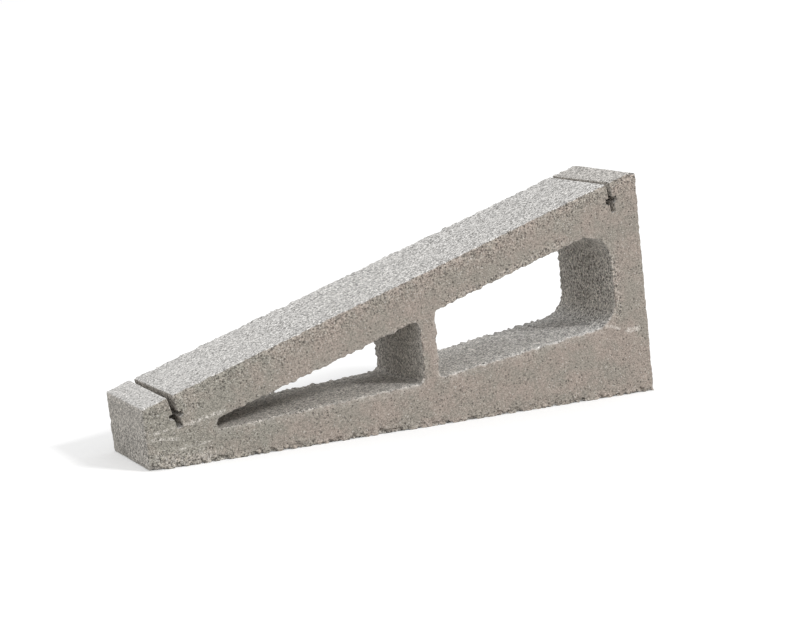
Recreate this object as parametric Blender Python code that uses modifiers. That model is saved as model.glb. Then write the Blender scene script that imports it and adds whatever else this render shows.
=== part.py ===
"""Wedge-shaped concrete ballast block that carries solar modules at a fixed tilt.

The block is one casting: a flat foot bar, a sloping seat beam, a low front end, a tall back end
and one upright post between the two openings. Two undercut slots cross the seat beam from side
to side and take the clamps' channel inserts.

Frame: metres, +Z up, +X from the low front end to the tall back end, Y across the block's width.
The origin is at the middle of the foot's underside. In the outline functions x is measured from
the front end instead.
"""
import math
import random

import bpy
import bmesh
from mathutils import Vector, noise

# Overall size
LENGTH = 1.100            # front end to back end
WIDTH = 0.290             # side to side
FRONT_HEIGHT = 0.126      # seat height at the low front end
BACK_HEIGHT = 0.466       # height where the seat's plane would meet the back end
FRONT_LEAN = 0.004        # how far the front end's foot stands back from its top edge
APEX_LAND = 0.0125        # narrow flat that ends the seat at the back
APEX_DROP = 0.003         # fall of that flat towards the back end
ARRIS = 0.003             # rounding of the cast edges

# Members
SEAT_BEAM = 0.084         # thickness of the sloping beam, square to the seat
BACK_WALL = 0.0715        # thickness of the back end
POST_THICKNESS = 0.036    # upright between the openings
POST_PLACE = 0.5945       # front end to the post's front side
FRONT_BAR_AT_POST = 0.0882    # foot bar's height at the post, in the front opening
FRONT_BAR_RISE = 0.0629       # its rise for each metre towards the back
BACK_BAR_AT_POST = 0.0948     # foot bar's height at the post, in the back opening
BACK_BAR_RISE = 0.1405        # its rise for each metre towards the back
TIP_GAP = 0.0243          # height of the front opening's blunt front end

# Corner roundings of the openings
TIP_ROUND = 0.007
FRONT_TOP_ROUND = 0.011
FRONT_LOW_ROUND = 0.012
BACK_TOP_FRONT_ROUND = 0.013
BACK_LOW_FRONT_ROUND = 0.008
BACK_TOP_ROUND = 0.053
BACK_LOW_ROUND = 0.054

# Undercut slots: inset is the distance of the middle from the seat's end, along the seat, and
# depths run square to the seat. The neck opens into two wings, and a tail goes on below them.
# The tilt is how far the middle moves towards the low end for each metre of depth, and at the
# neck's foot it is at its inset.
FRONT_SLOT = dict(inset=0.0602, neck=0.0125, neck_depth=0.0365, wings=0.0300, wing_end=0.0075,
                  wing_root=0.0110, tail=0.0125, depth=0.0665, tilt=0.025)
BACK_SLOT = dict(inset=0.0722, neck=0.0085, neck_depth=0.0310, wings=0.0250, wing_end=0.0090,
                 wing_root=0.0125, tail=0.0080, depth=0.0612, tilt=0.070)

# Chips broken out of corners on the -Y side: each bite's reach along X, Y and Z
FRONT_LIP_CHIP = (0.011, 0.009, 0.009)
APEX_CHIP = (0.012, 0.007, 0.006)
FOOT_CHIP = (0.020, 0.010, 0.009)
CHIP_ROUGHNESS = 0.22     # how far a bite swells and shrinks, as a share of its reach
CHIP_LUMPS = 1.7          # lumps across a bite
CHIP_SEED = 11

# Fineness of the mesh
ARC_STEP = math.radians(12.0)
ARC_SHARE = 0.45          # the most of a straight side that one corner's arc may take
WELD = 0.00002            # points closer than this are one
FLAT_ANGLE = math.radians(0.5)
SHARP_ANGLE = math.radians(25.0)


def seat_slope():
    """Rise of the seat for each metre of length."""
    return (BACK_HEIGHT - FRONT_HEIGHT) / LENGTH


def seat_run():
    """Length along the seat for each metre of level length."""
    return math.hypot(1.0, seat_slope())


def seat_height(x):
    return FRONT_HEIGHT + seat_slope() * x


def ceiling_height(x):
    """Height of the seat beam's underside, which runs parallel to the seat."""
    return seat_height(x) - SEAT_BEAM * seat_run()


def front_bar_height(x):
    return FRONT_BAR_AT_POST + FRONT_BAR_RISE * (x - POST_PLACE)


def back_bar_height(x):
    return BACK_BAR_AT_POST + BACK_BAR_RISE * (x - POST_PLACE - POST_THICKNESS)


def tip_place():
    """Distance from the front end at which the front opening is TIP_GAP high."""
    gap_at_front_end = ceiling_height(0.0) - front_bar_height(0.0)
    return (TIP_GAP - gap_at_front_end) / (seat_slope() - FRONT_BAR_RISE)


def on_seat(along, inward):
    """Outline point at a distance along the seat from its front edge and a depth square to it."""
    x = (along + inward * seat_slope()) / seat_run()
    z = FRONT_HEIGHT + (along * seat_slope() - inward) / seat_run()
    return (x, z)


def front_slot_middle():
    return FRONT_SLOT["inset"]


def back_slot_middle():
    return LENGTH * seat_run() - BACK_SLOT["inset"]


def in_slot(slot, middle, side, inward):
    """Outline point at a distance to one side of a slot's tilted middle and at a depth."""
    return on_seat(middle + side + slot["tilt"] * (slot["neck_depth"] - inward), inward)


def slot_outline(slot, middle):
    """Section of one slot, walked from its uphill lip round to its downhill lip."""
    shoulder = slot["neck_depth"]
    uphill = [
        (slot["neck"] / 2, 0.0),
        (slot["neck"] / 2, shoulder),
        (slot["wings"] / 2, shoulder),
        (slot["wings"] / 2, shoulder + slot["wing_end"]),
        (slot["tail"] / 2, shoulder + slot["wing_root"]),
        (slot["tail"] / 2, slot["depth"]),
    ]
    downhill = [(-side, inward) for side, inward in reversed(uphill)]
    return [in_slot(slot, middle, side, inward) for side, inward in uphill + downhill]


def body_outline():
    """Outer outline, from the front foot along the ground, up the back end and down the seat."""
    land = LENGTH - APEX_LAND
    ends = [
        (FRONT_LEAN, 0.0),
        (LENGTH, 0.0),
        (LENGTH, seat_height(land) - APEX_DROP),
        (land, seat_height(land)),
    ]
    back_slot = slot_outline(BACK_SLOT, back_slot_middle())
    front_slot = slot_outline(FRONT_SLOT, front_slot_middle())
    return ends + back_slot + front_slot + [(0.0, FRONT_HEIGHT)]


def rounded(corners):
    """Closed outline whose corners (x, z, radius) become arcs.

    An arc starts where it touches the side before its corner. Its point at a turn t is its
    centre, plus the arm to that start times cos t, plus the radius along that side times sin t.
    """
    points = []
    for index, (x, z, radius) in enumerate(corners):
        corner = Vector((x, z))
        before = Vector(corners[index - 1][:2]) - corner
        after = Vector(corners[(index + 1) % len(corners)][:2]) - corner
        half_angle = before.angle(after) / 2
        shorter = min(before.length, after.length)
        reach = min(radius / math.tan(half_angle), ARC_SHARE * shorter)
        fitted = reach * math.tan(half_angle)
        start = corner + before.normalized() * reach
        inwards = (before.normalized() + after.normalized()).normalized()
        centre = corner + inwards * math.hypot(reach, fitted)
        along = -before.normalized() * fitted
        whole_turn = math.pi - 2 * half_angle
        steps = math.ceil(whole_turn / ARC_STEP)
        for step in range(steps + 1):
            turn = whole_turn * step / steps
            points.append(centre + (start - centre) * math.cos(turn) + along * math.sin(turn))
    return points


def front_opening():
    tip = tip_place()
    return rounded([
        (tip, front_bar_height(tip), TIP_ROUND),
        (POST_PLACE, front_bar_height(POST_PLACE), FRONT_LOW_ROUND),
        (POST_PLACE, ceiling_height(POST_PLACE), FRONT_TOP_ROUND),
        (tip, ceiling_height(tip), TIP_ROUND),
    ])


def back_opening():
    near = POST_PLACE + POST_THICKNESS
    far = LENGTH - BACK_WALL
    return rounded([
        (near, back_bar_height(near), BACK_LOW_FRONT_ROUND),
        (far, back_bar_height(far), BACK_LOW_ROUND),
        (far, ceiling_height(far), BACK_TOP_ROUND),
        (near, ceiling_height(near), BACK_TOP_FRONT_ROUND),
    ])


def clear_scene():
    for thing in list(bpy.data.objects):
        bpy.data.objects.remove(thing, do_unlink=True)


def new_collection(name):
    collection = bpy.data.collections.new(name)
    bpy.context.scene.collection.children.link(collection)
    return collection


def concrete():
    """Dry-cast grey concrete: pale, matt and without any shine."""
    material = bpy.data.materials.new("dry_cast_concrete")
    material.use_nodes = True
    shader = material.node_tree.nodes["Principled BSDF"]
    shader.inputs["Base Color"].default_value = (0.36, 0.33, 0.29, 1.0)
    shader.inputs["Roughness"].default_value = 0.9
    shader.inputs["Metallic"].default_value = 0.0
    return material


def side_view(outlines):
    """Flat filled curve of the side view, half the width thick on each side of its plane."""
    curve = bpy.data.curves.new("side_view", "CURVE")
    curve.dimensions = "2D"
    curve.fill_mode = "BOTH"
    curve.extrude = WIDTH / 2
    for outline in outlines:
        spline = curve.splines.new("POLY")
        spline.points.add(len(outline) - 1)
        for point, (x, z) in zip(spline.points, outline):
            point.co = (x - LENGTH / 2, z, 0.0, 1.0)
        spline.use_cyclic_u = True
    return bpy.data.objects.new("side_view", curve)


def casting(collection):
    """The block as a mesh: the side view stood upright, with its caps welded to its sides."""
    drawing = side_view([body_outline(), front_opening(), back_opening()])
    drawing.rotation_euler = (math.pi / 2, 0.0, 0.0)
    collection.objects.link(drawing)
    graph = bpy.context.evaluated_depsgraph_get()
    mesh = bpy.data.meshes.new_from_object(drawing.evaluated_get(graph))
    mesh.transform(drawing.matrix_world)
    bpy.data.objects.remove(drawing, do_unlink=True)

    shape = bmesh.new()
    shape.from_mesh(mesh)
    bmesh.ops.remove_doubles(shape, verts=shape.verts, dist=WELD)
    bmesh.ops.dissolve_limit(
        shape, angle_limit=FLAT_ANGLE, verts=shape.verts, edges=shape.edges)
    bmesh.ops.recalc_face_normals(shape, faces=shape.faces)
    shape.to_mesh(mesh)
    shape.free()

    mesh.name = "ballast_block"
    block = bpy.data.objects.new("ballast_block", mesh)
    collection.objects.link(block)
    return block


def round_edges(block):
    bevel = block.modifiers.new("cast_edges", "BEVEL")
    bevel.width = ARRIS
    bevel.segments = 2
    bevel.limit_method = "ANGLE"
    bevel.angle_limit = SHARP_ANGLE
    bevel.use_clamp_overlap = False
    bevel.loop_slide = False


def chips():
    """Name, outline corner and reach of each bite."""
    land = LENGTH - APEX_LAND
    return [
        ("front_lip_chip", in_slot(FRONT_SLOT, front_slot_middle(), FRONT_SLOT["neck"] / 2, 0.0),
         FRONT_LIP_CHIP),
        ("apex_chip", (LENGTH - APEX_LAND / 2, seat_height(land) - APEX_DROP / 2), APEX_CHIP),
        ("foot_chip", (FRONT_LEAN, 0.0), FOOT_CHIP),
    ]


def chip_cutter(name, corner, reach, cutters):
    """Lumpy ball centred on the corner that it bites from, on the -Y side."""
    shift = Vector([random.uniform(0.0, 9.0) for _ in range(3)])
    shape = bmesh.new()
    bmesh.ops.create_icosphere(shape, subdivisions=2, radius=1.0)
    for vertex in shape.verts:
        swell = 1.0 + CHIP_ROUGHNESS * noise.noise(vertex.co * CHIP_LUMPS + shift)
        vertex.co = Vector([swell * part * size for part, size in zip(vertex.co, reach)])
    mesh = bpy.data.meshes.new(name)
    shape.to_mesh(mesh)
    shape.free()
    cutter = bpy.data.objects.new(name, mesh)
    cutter.location = (corner[0] - LENGTH / 2, -WIDTH / 2, corner[1])
    cutter.hide_render = True
    cutter.display_type = "WIRE"
    cutters.objects.link(cutter)
    return cutter


def break_corners(block, cutters):
    random.seed(CHIP_SEED)
    for name, corner, reach in chips():
        cut = block.modifiers.new(name, "BOOLEAN")
        cut.operation = "DIFFERENCE"
        cut.solver = "EXACT"
        cut.object = chip_cutter(name, corner, reach, cutters)


def main():
    clear_scene()
    parts = new_collection("solar_ballast_block")
    cutters = new_collection("cutters")
    block = casting(parts)
    block.data.materials.append(concrete())
    round_edges(block)
    break_corners(block, cutters)


main()
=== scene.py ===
"""Looks of a wedge-shaped ballast block that carries one end of a solar module.

The block is one dry-cast concrete piece. Its surface is worked out here with numpy: the rounded
outline of the side view is carried across the width, the two flat sides are filled in, and the
whole skin is then roughened, crumbled along its arrises and chipped where the real one is.

Frame: metres, +Z up, +X from the low front end to the tall back end, Y across the width. In the
outline functions x is measured from the front end instead.
"""

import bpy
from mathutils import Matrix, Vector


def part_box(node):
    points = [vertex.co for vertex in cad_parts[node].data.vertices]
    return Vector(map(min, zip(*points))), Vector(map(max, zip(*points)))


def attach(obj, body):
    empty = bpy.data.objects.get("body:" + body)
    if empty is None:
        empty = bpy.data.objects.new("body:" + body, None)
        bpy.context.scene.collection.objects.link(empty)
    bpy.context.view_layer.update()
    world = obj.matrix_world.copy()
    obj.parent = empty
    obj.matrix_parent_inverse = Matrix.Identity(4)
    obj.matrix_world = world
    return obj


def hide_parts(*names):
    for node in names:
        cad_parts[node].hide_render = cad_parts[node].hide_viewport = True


bl_info = {
    "name": "Concrete Ballast Block",
    "version": (1, 0, 0),
    "blender": (4, 5, 0),
    "location": "3D View > Sidebar > Ballast Block",
    "description": "Dry-cast concrete ballast block with its crumbled arrises and sand grain",
    "category": "Object",
}

import itertools
import math
from collections import namedtuple

import bpy
import numpy as np
from bpy.props import FloatProperty, FloatVectorProperty, IntProperty, PointerProperty
from mathutils import Matrix, Vector
from mathutils.geometry import delaunay_2d_cdt

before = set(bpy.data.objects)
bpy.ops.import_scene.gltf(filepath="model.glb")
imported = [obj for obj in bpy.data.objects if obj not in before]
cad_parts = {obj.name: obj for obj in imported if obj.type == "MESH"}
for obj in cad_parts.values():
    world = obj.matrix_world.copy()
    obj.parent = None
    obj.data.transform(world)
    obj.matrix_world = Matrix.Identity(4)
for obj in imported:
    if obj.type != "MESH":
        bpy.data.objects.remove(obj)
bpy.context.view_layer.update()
LOW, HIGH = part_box("ballast_block")
LENGTH = HIGH.x - LOW.x
WIDTH = HIGH.y - LOW.y
NEAR = LOW.y              # flat side that faces the camera
FAR = HIGH.y

# Ends of the wedge
FRONT_HEIGHT = 0.126      # seat height at the low front end
FRONT_LEAN = 0.004        # how far the front end's foot stands back from its top edge
APEX_LAND = 0.0125        # narrow flat that ends the seat at the back
APEX_DROP = 0.003         # fall of that flat towards the back end

# Openings
POST_PLACE = 0.5945       # front end to the post's front side
FRONT_BAR_AT_POST = 0.0882    # foot bar's height at the post, in the front opening
FRONT_BAR_RISE = 0.0629       # its rise for each metre towards the back
BACK_BAR_AT_POST = 0.0948     # foot bar's height at the post, in the back opening
BACK_BAR_RISE = 0.1405        # its rise for each metre towards the back
TIP_GAP = 0.0243          # height of the front opening's blunt front end
TIP_ROUND = 0.007
FRONT_TOP_ROUND = 0.011
FRONT_LOW_ROUND = 0.012
BACK_TOP_FRONT_ROUND = 0.013
BACK_LOW_FRONT_ROUND = 0.008
BACK_TOP_ROUND = 0.053
BACK_LOW_ROUND = 0.054
FRONT_FLOOR_DRAFT = 0.0022    # a floor's rise from its middle to the near side, and its fall
BACK_FLOOR_DRAFT = 0.0028     # to the far side, from the taper of the core that made the opening
FLOOR_DRAFT_AT_POST = 0.0036  # the same for the front floor's end at the post
FRONT_CEILING_DRAFT = 0.0012  # a ceiling's fall from its middle to the near side
BACK_CEILING_DRAFT = -0.0016
POST_TAPER = 0.0015           # how far the post's front side leans in up to its middle

# Undercut slots: inset is the distance of the middle from the seat's end, along the seat, and
# depths run square to the seat. The neck opens into two wings, and a tail goes on below them.
# Widths are those at the near side. Each wall leans in by the taper up to the middle of the
# width, and by as much again up to the far side. Halfway across the width the tilt is how far the
# slot moves towards the low end for each metre of depth. At the near side it is twice as much,
# at the far side nothing, and at the neck's foot the slot is at its inset.
FRONT_SLOT = dict(inset=0.0602, neck=0.0125, neck_depth=0.0365, wings=0.0300, wing_end=0.0075,
                  wing_root=0.0110, tail=0.0125, depth=0.0665, taper=0.0013, tilt=0.025)
BACK_SLOT = dict(inset=0.0722, neck=0.0085, neck_depth=0.0310, wings=0.0250, wing_end=0.0090,
                 wing_root=0.0125, tail=0.0100, depth=0.0612, taper=0.0010, tilt=0.070)
OUTER_ROUND = 0.0026
FRONT_END_ROUND = 0.0046
FRONT_END_ARRIS = 0.0042  # the low front end's upright arrises are rubbed rounder
FLOOR_ARRIS = 0.0040      # so are the openings' floors
ARRIS_SHARE = 0.9         # the most of a standing corner's radius that its arris may take
LIP_ROUND = 0.0022
LIP_ARRIS = 0.0014
SLOT_ROUND = 0.0012
SLOT_ARRIS = 0.0009

# Wear of the arrises along each kind of side, as a share of the common depth
FOOT_WEAR = 2.4
END_WEAR = 0.38
SEAT_WEAR = 0.75
SLOT_WEAR = 0.13
FLOOR_WEAR = 1.45
WALL_WEAR = 1.0
CEILING_WEAR = 0.85
CORNER_WEAR = 0.18        # edges that run across the width

# Fineness of the mesh
STEP = 0.0029             # along the outlines
SLOT_STEP = 0.0050
ARC_SHARE = 0.45          # the most of a straight side that one corner's arc may take
ARC_TURN = math.radians(32.0)
SHARP_TURN = math.radians(25.0)
SOFT_POINTS = 3           # outline points each way that share one direction of wear
ARRIS_COLUMNS = 4
FINE_COLUMNS = (0.0022, 0.0052, 0.0092, 0.0146, 0.0218, 0.0310)    # distances in from an arris
MIDDLE_COLUMN = 0.0125
FINE_GRID = 0.0033        # points on the flat sides, near an edge or a mark
COARSE_STRIDE = 2
FINE_BAND = 0.0130
MARK_BAND = 0.0110
EDGE_CLEARANCE = 0.6 * FINE_GRID      # nearest that a point on a flat side comes to an edge
WELD = 1e-7

# Relief of the skin: a swell's size is the distance over which it rises and sinks
Swell = namedtuple("Swell", "size height")
LONG_WAVES = Swell(size=0.130, height=0.00035)
SHORT_WAVES = Swell(size=0.034, height=0.00025)
LUMPS_OF_MIX = Swell(size=0.0085, height=0.00035)
GRIT = Swell(size=0.0046, height=0.00035)
MOULDED_LUMPS = 0.3       # lumps on the moulded faces, as a share of those on the pressed sides
SKIN = 0.0005             # room for grains that stand proud of the moulded faces
PIT_SPACING = 0.017
PIT_DEPTH = 0.0014
PIT_REACH, PIT_SPREAD = 0.16, 0.12     # half width and how far it varies, in spacings
PITLESS_SHARE = 0.55      # share of the places that have no pit
BURR_HEIGHT = 0.0013
SEAM_DEPTH = 0.0018
SLOPE_TABLE = 4096        # random slopes and spots that the patterns draw from
NOISE_GAIN = 1.6          # brings the noise to about -1 to 1

# Crumbling of the arrises
EDGE_REACH = 0.0055       # how far crumbling spreads from an arris
HEAVY_REACH = 1.5         # how many times as far it spreads where the wear is heavy
STEADY_WEAR = 0.0003
CRUMBS = Swell(size=0.0092, height=0.0042)
FINE_CRUMBS = Swell(size=0.0045, height=0.0018)
BITE_SPACING = 0.028      # bites are the larger crumbs that are missing
BITE_REACH = 0.36         # half width, in spacings
BITE_DEPTH = 0.0032
BITELESS_SHARE = 0.62     # share of the places that have no bite
BROKEN_DEPTH = 1 / 190    # depth of crumbling that bares wholly fresh mix
FOOT_SOIL = 0.022         # height up to which crumbled edges are soiled and not pale
CHIP_LUMP = 0.30          # how far a chip swells and shrinks, as a share of its size

# Openness of the mix, which is the share of open, stony texture
SIDE_OPENNESS = 0.10
MOULDED_OPENNESS = 0.85
PATCHY_OPENNESS = 0.15    # how far patches differ
PATCH_SIZE = 0.055
LOW_END_OPENNESS, LOW_END_REACH = 0.28, 0.34
SEAT_OPENNESS, SEAT_REACH = 0.60, 0.060
# Along the foot the mix is drawn more open, so its wider dark pores darken the foot's edge: partly
# soil, partly painted shade
FOOT_OPENNESS_AND_SHADE, FOOT_REACH = 0.40, 0.026
SPOT_OPENNESS, MARGIN_OPENNESS = 0.5, 0.8      # at the open patch, and along the loose margins
LOW_SEAT_CLOSING = 0.65   # how much less open the mix under the seat is at the low end
LOW_TOP_CLOSING = 0.35    # how much less open the top is there

# Tone: the sides are greyer at the low end, and what faces up is paler, partly settled cement
# powder and partly painted sky light, with painted shade just below a ceiling
GREY_REACH = 0.46         # distance from the low end over which the sides turn warm
DUST_AND_SKY_FROM, DUST_AND_SKY_FULL = 1 / 3, 8 / 9    # rise of the normal where powder and painted sky light start and where they are full
BEAM_SHADE_REACH = 0.10      # painted shade below a ceiling: no powder or sky light this near, and all of it at twice that
CAP_DUST_AND_SKY = 0.5            # share of the seat's powder and painted sky light that lies on the cap behind the back slot

Corner = namedtuple("Corner", "x z radius arris wear lean", defaults=((0.0, 0.0),))
Outline = namedtuple("Outline", "points normals soft arris wear lean corner_gap")
Skin = namedtuple("Skin", "points normals ways rub")
Chip = namedtuple("Chip", "place reach inward")
Lump = namedtuple("Lump", "place reach height")
Line = namedtuple("Line", "start end width")


def linear(code):
    """Linear colour of an sRGB hex code, with full opacity."""
    parts = [int(code[start:start + 2], 16) / 255 for start in (1, 3, 5)]
    curve = [part / 12.92 if part <= 0.04045 else ((part + 0.055) / 1.055) ** 2.4
             for part in parts]
    return (*curve, 1.0)


def colour_property(name, description, code):
    return FloatVectorProperty(
        name=name, description=description, subtype="COLOR", size=4, min=0.0, max=1.0,
        default=linear(code))


def length_property(name, description, default):
    return FloatProperty(
        name=name, description=description, default=default, min=0.0, unit="LENGTH")


def share_property(name, description, default=1.0):
    return FloatProperty(
        name=name, description=description, default=default, min=0.0, subtype="FACTOR")


class BlockSizes(bpy.types.PropertyGroup):
    seat_beam: length_property(
        "Seat Beam", "Thickness of the sloping beam, square to the seat", 0.084)
    back_wall: length_property("Back Wall", "Thickness of the tall back end", 0.0715)
    post: length_property("Post", "Thickness of the upright between the openings", 0.036)
    arris: length_property("Arris", "Rounding of the cast edges", 0.0022)
    core_arris: length_property("Core Arris", "Rounding of the openings' edges", 0.0024)
    grit: share_property("Grit", "Relief of the whole skin, as a share of the normal one")
    crumble: share_property("Crumble", "Wear of the arrises, as a share of the normal one")
    damage: share_property("Damage", "Size of the single chips, as a share of the normal one")
    seed: IntProperty(name="Seed", description="Number that the relief grows from", default=7)


class ConcreteLooks(bpy.types.PropertyGroup):
    pressed: colour_property("Pressed Face", "Cement of the two pressed sides", "#9B9087")
    pressed_cool: colour_property("Pressed Cloud", "Greyer clouds on the pressed sides", "#8E8A81")
    moulded: colour_property("Moulded Face", "Cement of the faces cast on the mould", "#B9B4AD")
    # Paler tone of what faces up: partly settled cement powder, partly painted sky light
    dust_and_sky_light: colour_property("Dust", "Cement dust on what faces up", "#CECCC9")
    pale_grain: colour_property("Pale Grain", "Quartz and limestone sand", "#DEDAD4")
    # Dark sand, and the painted shade inside open pores
    dark_grain_and_pore_shade: colour_property("Dark Grain", "Dark sand and open pores", "#55504A")
    bloom: colour_property("Bloom", "Lime bloom and bruised edges", "#E2DCD5")
    grain: length_property("Grain", "Width of a sand grain", 0.0017)
    stone: length_property("Stone", "Width of a coarse grain", 0.0036)
    pore: length_property("Pore", "Distance between open pores", 0.0060)


class StudioSettings(bpy.types.PropertyGroup):
    azimuth: FloatProperty(
        name="Azimuth", description="Camera's turn round the block, 0 looks along +Y",
        default=math.radians(-19.11), subtype="ANGLE", unit="ROTATION")
    elevation: FloatProperty(
        name="Elevation", description="Camera's height above the horizon",
        default=math.radians(8.23), subtype="ANGLE", unit="ROTATION")
    roll: FloatProperty(
        name="Roll", description="Camera's turn about its own view, clockwise",
        default=math.radians(5.68), subtype="ANGLE", unit="ROTATION")
    distance: length_property("Distance", "From the camera to the point it looks at", 6.057)
    lens: FloatProperty(
        name="Lens", description="Focal length on a 36 mm sensor, in millimetres",
        default=131.2, min=1.0, subtype="DISTANCE_CAMERA")
    sky: FloatProperty(name="Sky", description="Strength of the even light", default=0.74, min=0.0)
    key: FloatProperty(
        name="Key", description="Strength of the soft lamp in front, at the back end's side",
        default=1.82, min=0.0)
    floor: colour_property("Floor", "Pale studio floor", "#CFCFCE")


def seat_slope():
    """Rise of the seat for each metre of length."""
    return (HIGH.z - FRONT_HEIGHT) / (LENGTH - APEX_LAND)


def seat_run():
    """Length along the seat for each metre of level length."""
    return math.hypot(1.0, seat_slope())


def seat_height(x):
    return FRONT_HEIGHT + seat_slope() * x


def ceiling_height(x, sizes):
    """Height of the seat beam's underside, which runs parallel to the seat."""
    return seat_height(x) - sizes.seat_beam * seat_run()


def front_bar_height(x):
    return FRONT_BAR_AT_POST + FRONT_BAR_RISE * (x - POST_PLACE)


def back_bar_height(x, sizes):
    return BACK_BAR_AT_POST + BACK_BAR_RISE * (x - POST_PLACE - sizes.post)


def on_seat(along, inward):
    """Outline point at a distance along the seat from its front edge and a depth square to it."""
    x = (along + inward * seat_slope()) / seat_run()
    z = FRONT_HEIGHT + (along * seat_slope() - inward) / seat_run()
    return (x, z)


def front_slot_middle():
    return FRONT_SLOT["inset"]


def back_slot_middle():
    return LENGTH * seat_run() - BACK_SLOT["inset"]


def tilted(slot, inward):
    """How far a slot's middle lies uphill of its inset, halfway across the width."""
    return slot["tilt"] * (slot["neck_depth"] - inward)


def slot_corners(slot, middle):
    """Corners of one slot, walked from its uphill lip round to its downhill lip.

    The lean holds the taper of the walls, and the tilt once more, which the near side adds to the
    middle's own and the far side takes off it.
    """
    shoulder, taper = slot["neck_depth"], slot["taper"]
    half_neck, half_wings, half_tail = [
        slot[name] / 2 - taper for name in ("neck", "wings", "tail")]
    flank = [
        (half_neck, 0.0, LIP_ROUND, LIP_ARRIS),
        (half_neck, shoulder, SLOT_ROUND, SLOT_ARRIS),
        (half_wings, shoulder, SLOT_ROUND, SLOT_ARRIS),
        (half_wings, shoulder + slot["wing_end"], SLOT_ROUND, SLOT_ARRIS),
        (half_tail, shoulder + slot["wing_root"], SLOT_ROUND, SLOT_ARRIS),
        (half_tail, slot["depth"], SLOT_ROUND, SLOT_ARRIS),
    ]
    corners = []
    for way, walked in ((1, flank), (-1, flank[::-1])):
        for side, inward, radius, arris in walked:
            uphill = tilted(slot, inward)
            place = on_seat(middle + way * side + uphill, inward)
            along = (way * taper + uphill) / seat_run()
            corners.append(Corner(
                *place, radius, arris, SLOT_WEAR, (along, along * seat_slope())))
    corners[-1] = corners[-1]._replace(wear=SEAT_WEAR)
    return corners


def body_corners(sizes):
    """Outer outline, from the front foot along the ground, up the back end and down the seat."""
    land = LENGTH - APEX_LAND
    finish = (OUTER_ROUND, sizes.arris)
    ends = [
        Corner(FRONT_LEAN, 0.0, FRONT_END_ROUND, FRONT_END_ARRIS, FOOT_WEAR),
        Corner(LENGTH, 0.0, *finish, END_WEAR),
        Corner(LENGTH, seat_height(land) - APEX_DROP, *finish, SEAT_WEAR),
        Corner(land, seat_height(land), *finish, SEAT_WEAR),
    ]
    back_slot = slot_corners(BACK_SLOT, back_slot_middle())
    front_slot = slot_corners(FRONT_SLOT, front_slot_middle())
    front = Corner(0.0, FRONT_HEIGHT, FRONT_END_ROUND, FRONT_END_ARRIS, END_WEAR)
    return ends + back_slot + front_slot + [front]


def front_tip(sizes):
    """Place of the front opening's blunt front end."""
    gap_at_front_end = ceiling_height(0.0, sizes) - front_bar_height(0.0)
    return (TIP_GAP - gap_at_front_end) / (seat_slope() - FRONT_BAR_RISE)


def front_opening_corners(sizes):
    tip, post = front_tip(sizes), POST_PLACE - POST_TAPER
    arris, lean = sizes.core_arris, (0.0, FRONT_FLOOR_DRAFT)
    return [
        Corner(tip, front_bar_height(tip), TIP_ROUND, arris, WALL_WEAR, lean),
        Corner(tip, ceiling_height(tip, sizes), TIP_ROUND, arris, CEILING_WEAR,
               (0.0, -FRONT_CEILING_DRAFT)),
        Corner(post, ceiling_height(post, sizes), FRONT_TOP_ROUND, arris, WALL_WEAR,
               (POST_TAPER, -FRONT_CEILING_DRAFT)),
        Corner(post, front_bar_height(post), FRONT_LOW_ROUND, FLOOR_ARRIS, FLOOR_WEAR,
               (POST_TAPER, FLOOR_DRAFT_AT_POST)),
    ]


def back_opening_corners(sizes):
    near = POST_PLACE + sizes.post
    far = LENGTH - sizes.back_wall
    arris, low = sizes.core_arris, BACK_FLOOR_DRAFT
    return [
        Corner(near, back_bar_height(near, sizes), BACK_LOW_FRONT_ROUND, FLOOR_ARRIS, WALL_WEAR,
               (0.0, low)),
        Corner(near, ceiling_height(near, sizes), BACK_TOP_FRONT_ROUND, arris, CEILING_WEAR,
               (0.0, -BACK_CEILING_DRAFT)),
        Corner(far, ceiling_height(far, sizes), BACK_TOP_ROUND, arris, WALL_WEAR,
               (0.0, -BACK_CEILING_DRAFT)),
        Corner(far, back_bar_height(far, sizes), BACK_LOW_ROUND, FLOOR_ARRIS, FLOOR_WEAR,
               (0.0, low)),
    ]


def right_of(direction):
    return np.array([direction[1], -direction[0]])


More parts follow.
